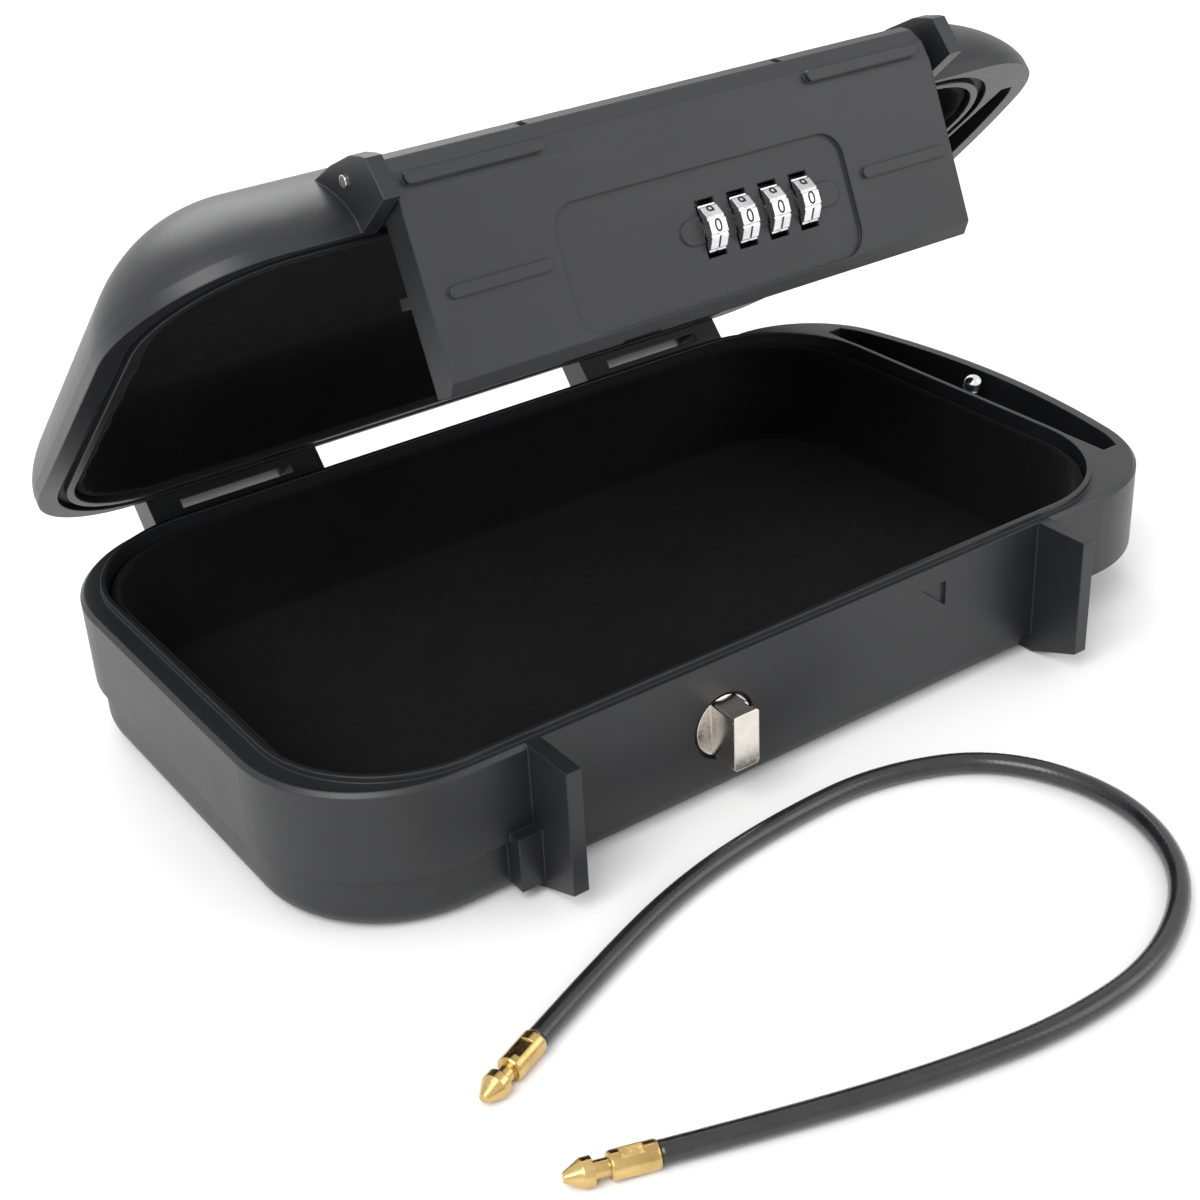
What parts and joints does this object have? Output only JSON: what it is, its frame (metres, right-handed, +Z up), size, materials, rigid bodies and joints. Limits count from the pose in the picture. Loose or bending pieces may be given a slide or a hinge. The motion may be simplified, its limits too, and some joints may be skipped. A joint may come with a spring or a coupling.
{
  "type": "combination cash box",
  "caption": "Portable lidded cash box with a hinged combination lock flap, foam lining and a loose security cable with end fittings.",
  "frame": {"origin": "centre of the base's flat underside", "axes": "+X along the box towards the cable compartment, +Y from the lock towards the lid's hinge, +Z up"},
  "size_m": [0.24, 0.2496, 0.1395],
  "materials": {
    "shell_plastic": "satin charcoal moulded ABS",
    "foam": "matte black closed-cell foam",
    "gasket": "soft black rubber",
    "steel": "plain steel",
    "nickel": "nickel plated",
    "chrome": "polished chrome plate",
    "brass": "turned brass",
    "cable_coating": "black vinyl coating over twisted steel strands"
  },
  "bodies": {
    "base": {"base_shell": "shell_plastic", "base_liner": "foam", "hinge_pins": "steel", "lock_stud": "nickel", "stud_washer": "steel", "stud_nut": "steel", "cable_anchor_pin": "chrome", "cable_jacket": "cable_coating", "cable_fitting_a": "brass", "cable_fitting_b": "brass"},
    "lid": {"lid_shell": "shell_plastic", "lid_liner": "foam", "lid_seal": "gasket", "flap_pin": "nickel"},
    "flap": {"lock_flap": "shell_plastic", "lock_back_cover": "shell_plastic", "cover_screws": "steel", "dial_spindle": "steel", "detent_plate": "steel", "latch_spring": "steel"},
    "latch": {"latch_plate": "steel"},
    "dial_1": {"dial_1": "chrome", "code_sleeve_1": "brass"},
    "dial_2": {"dial_2": "chrome", "code_sleeve_2": "brass"},
    "dial_3": {"dial_3": "chrome", "code_sleeve_3": "brass"},
    "dial_4": {"dial_4": "chrome", "code_sleeve_4": "brass"}
  },
  "joints": [
    {"name": "lid_hinge", "type": "hinge", "parent": "base", "child": "lid", "pos_m": [0, 0.073, 0.022], "axis": [-1, 0, 0], "range_deg": [-42, 33]},
    {"name": "flap_swing", "type": "hinge", "parent": "lid", "child": "flap", "pos_m": [0, -0.01744, 0.13317], "axis": [-1, 0, 0], "range_deg": [-15, 19]},
    {"name": "latch_slide", "type": "slide", "parent": "flap", "child": "latch", "axis": [-1, 0, 0], "range_m": [0, 0.0024], "deforming": ["latch_spring"]},
    {"name": "dial_1_spin", "type": "hinge", "parent": "flap", "child": "dial_1", "pos_m": [-0.0041, -0.03494, 0.11163], "axis": [-1, 0, 0], "continuous": true},
    {"name": "dial_2_spin", "type": "hinge", "parent": "flap", "child": "dial_2", "pos_m": [0.00396, -0.03494, 0.11163], "axis": [-1, 0, 0], "continuous": true},
    {"name": "dial_3_spin", "type": "hinge", "parent": "flap", "child": "dial_3", "pos_m": [0.01202, -0.03494, 0.11163], "axis": [-1, 0, 0], "continuous": true},
    {"name": "dial_4_spin", "type": "hinge", "parent": "flap", "child": "dial_4", "pos_m": [0.02008, -0.03494, 0.11163], "axis": [-1, 0, 0], "continuous": true}
  ],
  "couplings": [
    {"joint": "flap_swing", "follows": "lid_hinge", "ratio": -0.44762}
  ]
}
